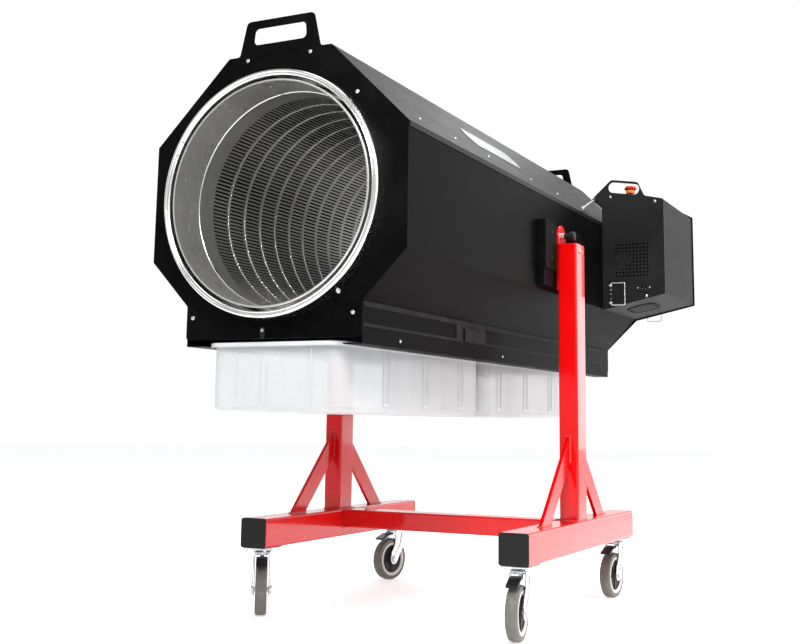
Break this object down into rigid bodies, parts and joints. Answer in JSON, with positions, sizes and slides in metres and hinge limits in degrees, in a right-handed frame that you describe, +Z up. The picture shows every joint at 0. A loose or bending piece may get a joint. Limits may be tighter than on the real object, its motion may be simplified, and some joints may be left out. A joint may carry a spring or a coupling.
{
  "type": "drum tumbler",
  "caption": "Rotary slotted drum in an octagonal sheet housing, tilting between two posts of a red wheeled stand, with pull-out tubs and a side drive box.",
  "frame": {"origin": "on the floor, under the middle of the whole machine's bounding box", "axes": "+Z up; -Y towards the mouth of the drum; +X towards the side with the drive box; the drum's axis is parallel to Y"},
  "size_m": [0.9236, 1.8106, 1.388],
  "materials": {
    "red_paint": "gloss red enamel over steel tube",
    "black_powder_coat": "satin black powder coat on sheet steel",
    "grey_cover": "satin dark grey coat on sheet steel",
    "polished_steel": "polished stainless steel",
    "drum_steel": "slotted stainless steel, satin",
    "zinc": "bright zinc plate",
    "castor_rubber": "grey-brown non-marking tread, light grey side, black hub",
    "drive_rubber": "black drive tyre",
    "motor_casting": "black painted casting",
    "black_plastic": "black moulded plastic",
    "translucent_tub": "natural translucent polyethylene",
    "signal_red": "red moulded button",
    "amber_collar": "orange collar"
  },
  "bodies": {
    "stand": {"left_base_rail": "red_paint", "right_base_rail": "red_paint", "cross_beam": "red_paint", "left_post": "red_paint", "right_post": "red_paint", "left_ear": "red_paint", "right_ear": "red_paint", "left_front_brace": "red_paint", "left_rear_brace": "red_paint", "right_front_brace": "red_paint", "right_rear_brace": "red_paint", "left_front_cap": "black_plastic", "left_rear_cap": "black_plastic", "right_front_cap": "black_plastic", "right_rear_cap": "black_plastic", "front_left_castor_plate": "zinc", "front_right_castor_plate": "zinc", "rear_left_castor_plate": "zinc", "rear_right_castor_plate": "zinc"},
    "front_left_castor": {"front_left_fork": "zinc"},
    "front_left_castor_wheel": {"front_left_wheel": "castor_rubber"},
    "front_left_brake": {"front_left_brake_pedal": "black_plastic"},
    "front_right_castor": {"front_right_fork": "zinc"},
    "front_right_castor_wheel": {"front_right_wheel": "castor_rubber"},
    "front_right_brake": {"front_right_brake_pedal": "black_plastic"},
    "rear_left_castor": {"rear_left_fork": "zinc"},
    "rear_left_castor_wheel": {"rear_left_wheel": "castor_rubber"},
    "rear_left_brake": {"rear_left_brake_pedal": "black_plastic"},
    "rear_right_castor": {"rear_right_fork": "zinc"},
    "rear_right_castor_wheel": {"rear_right_wheel": "castor_rubber"},
    "rear_right_brake": {"rear_right_brake_pedal": "black_plastic"},
    "housing": {"front_plate": "black_powder_coat", "rear_plate": "black_powder_coat", "top_cover": "grey_cover", "left_side_shell": "black_powder_coat", "right_side_shell": "black_powder_coat", "mouth_bezel": "polished_steel", "rear_bezel": "polished_steel", "left_pivot_bracket": "black_powder_coat", "right_pivot_bracket": "black_powder_coat", "box_front_plate": "black_powder_coat", "box_shell": "black_powder_coat", "gearmotor": "motor_casting", "stop_collar": "amber_collar", "power_inlet": "black_plastic", "stay_rod": "polished_steel", "name_plate": "polished_steel"},
    "drum": {"drum_shell": "drum_steel", "drum_front_hoop": "polished_steel", "drum_rear_hoop": "polished_steel"},
    "left_roller_shaft": {"left_roller_shaft": "drum_steel"},
    "right_roller_shaft": {"right_roller_shaft": "drum_steel"},
    "drive_wheel": {"drive_wheel": "drive_rubber"},
    "left_clamp_knob": {"left_clamp_knob": "black_plastic"},
    "right_clamp_knob": {"right_clamp_knob": "black_plastic"},
    "front_tub": {"front_tub": "translucent_tub"},
    "rear_tub": {"rear_tub": "translucent_tub"},
    "stop_button": {"stop_button": "signal_red"},
    "latch_bail": {"latch_bail": "zinc"},
    "tub_catch": {"tub_catch": "black_plastic"}
  },
  "joints": [
    {"name": "body_tilt", "type": "hinge", "parent": "stand", "child": "housing", "pos_m": [-0.0597, 0.06925, 1.01], "axis": [1, 0, 0], "range_deg": [-12, 12]},
    {"name": "front_left_swivel", "type": "hinge", "parent": "stand", "child": "front_left_castor", "pos_m": [-0.4222, -0.32275, 0.15], "axis": [0, 0, 1], "continuous": true},
    {"name": "front_left_wheel_spin", "type": "hinge", "parent": "front_left_castor", "child": "front_left_castor_wheel", "pos_m": [-0.40041, -0.3563, 0.0635], "axis": [0.8387, 0.5446, 0], "continuous": true},
    {"name": "front_left_brake_press", "type": "hinge", "parent": "front_left_castor", "child": "front_left_brake", "pos_m": [-0.40178, -0.3542, 0.143], "axis": [0.8387, 0.5446, 0], "range_deg": [0, 8]},
    {"name": "front_right_swivel", "type": "hinge", "parent": "stand", "child": "front_right_castor", "pos_m": [0.3028, -0.32275, 0.15], "axis": [0, 0, 1], "continuous": true},
    {"name": "front_right_wheel_spin", "type": "hinge", "parent": "front_right_castor", "child": "front_right_castor_wheel", "pos_m": [0.30837, -0.36236, 0.0635], "axis": [0.9903, 0.1392, 0], "continuous": true},
    {"name": "front_right_brake_press", "type": "hinge", "parent": "front_right_castor", "child": "front_right_brake", "pos_m": [0.30802, -0.35989, 0.143], "axis": [0.9903, 0.1392, 0], "range_deg": [0, 8]},
    {"name": "rear_left_swivel", "type": "hinge", "parent": "stand", "child": "rear_left_castor", "pos_m": [-0.4222, 0.46125, 0.15], "axis": [0, 0, 1], "continuous": true},
    {"name": "rear_left_wheel_spin", "type": "hinge", "parent": "rear_left_castor", "child": "rear_left_castor_wheel", "pos_m": [-0.43188, 0.42244, 0.0635], "axis": [0.9703, -0.2419, 0], "continuous": true},
    {"name": "rear_left_brake_press", "type": "hinge", "parent": "rear_left_castor", "child": "rear_left_brake", "pos_m": [-0.43127, 0.42486, 0.143], "axis": [0.9703, -0.2419, 0], "range_deg": [0, 8]},
    {"name": "rear_right_swivel", "type": "hinge", "parent": "stand", "child": "rear_right_castor", "pos_m": [0.3028, 0.46125, 0.15], "axis": [0, 0, 1], "continuous": true},
    {"name": "rear_right_wheel_spin", "type": "hinge", "parent": "rear_right_castor", "child": "rear_right_castor_wheel", "pos_m": [0.30001, 0.42135, 0.0635], "axis": [0.9976, -0.0698, 0], "continuous": true},
    {"name": "rear_right_brake_press", "type": "hinge", "parent": "rear_right_castor", "child": "rear_right_brake", "pos_m": [0.30018, 0.42384, 0.143], "axis": [0.9976, -0.0698, 0], "range_deg": [0, 8]},
    {"name": "drum_spin", "type": "hinge", "parent": "housing", "child": "drum", "pos_m": [-0.0597, 0, 0.983], "axis": [0, 1, 0], "continuous": true},
    {"name": "left_roller_spin", "type": "hinge", "parent": "housing", "child": "left_roller_shaft", "pos_m": [-0.22753, 0, 0.74332], "axis": [0, 1, 0], "continuous": true},
    {"name": "right_roller_spin", "type": "hinge", "parent": "housing", "child": "right_roller_shaft", "pos_m": [0.10813, 0, 0.74332], "axis": [0, 1, 0], "continuous": true},
    {"name": "drive_wheel_spin", "type": "hinge", "parent": "housing", "child": "drive_wheel", "pos_m": [0.3023, 0.78925, 1], "axis": [0, 1, 0], "continuous": true},
    {"name": "left_clamp_turn", "type": "hinge", "parent": "housing", "child": "left_clamp_knob", "pos_m": [-0.4153, 0.06925, 1.01], "axis": [-1, 0, 0], "continuous": true},
    {"name": "right_clamp_turn", "type": "hinge", "parent": "housing", "child": "right_clamp_knob", "pos_m": [0.2959, 0.06925, 1.01], "axis": [1, 0, 0], "continuous": true},
    {"name": "front_tub_pull", "type": "slide", "parent": "housing", "child": "front_tub", "axis": [0, -1, 0], "range_m": [0, 0.7]},
    {"name": "rear_tub_pull", "type": "slide", "parent": "housing", "child": "rear_tub", "axis": [0, 1, 0], "range_m": [0, 0.7]},
    {"name": "stop_press", "type": "slide", "parent": "housing", "child": "stop_button", "axis": [0, 0, -1], "range_m": [0, 0.004], "stiffness_N_per_m": 1500},
    {"name": "bail_swing", "type": "hinge", "parent": "housing", "child": "latch_bail", "pos_m": [0.2923, 0.47575, 0.892], "axis": [0, 0, -1], "range_deg": [0, 110]},
    {"name": "catch_turn", "type": "hinge", "parent": "housing", "child": "tub_catch", "pos_m": [-0.0777, -0.87005, 0.686], "axis": [0, 1, 0], "range_deg": [-90, 90]}
  ],
  "couplings": [
    {"joint": "left_roller_spin", "follows": "drum_spin", "ratio": -8.7333},
    {"joint": "right_roller_spin", "follows": "drum_spin", "ratio": -8.7333},
    {"joint": "drive_wheel_spin", "follows": "drum_spin", "ratio": -2.6253}
  ]
}
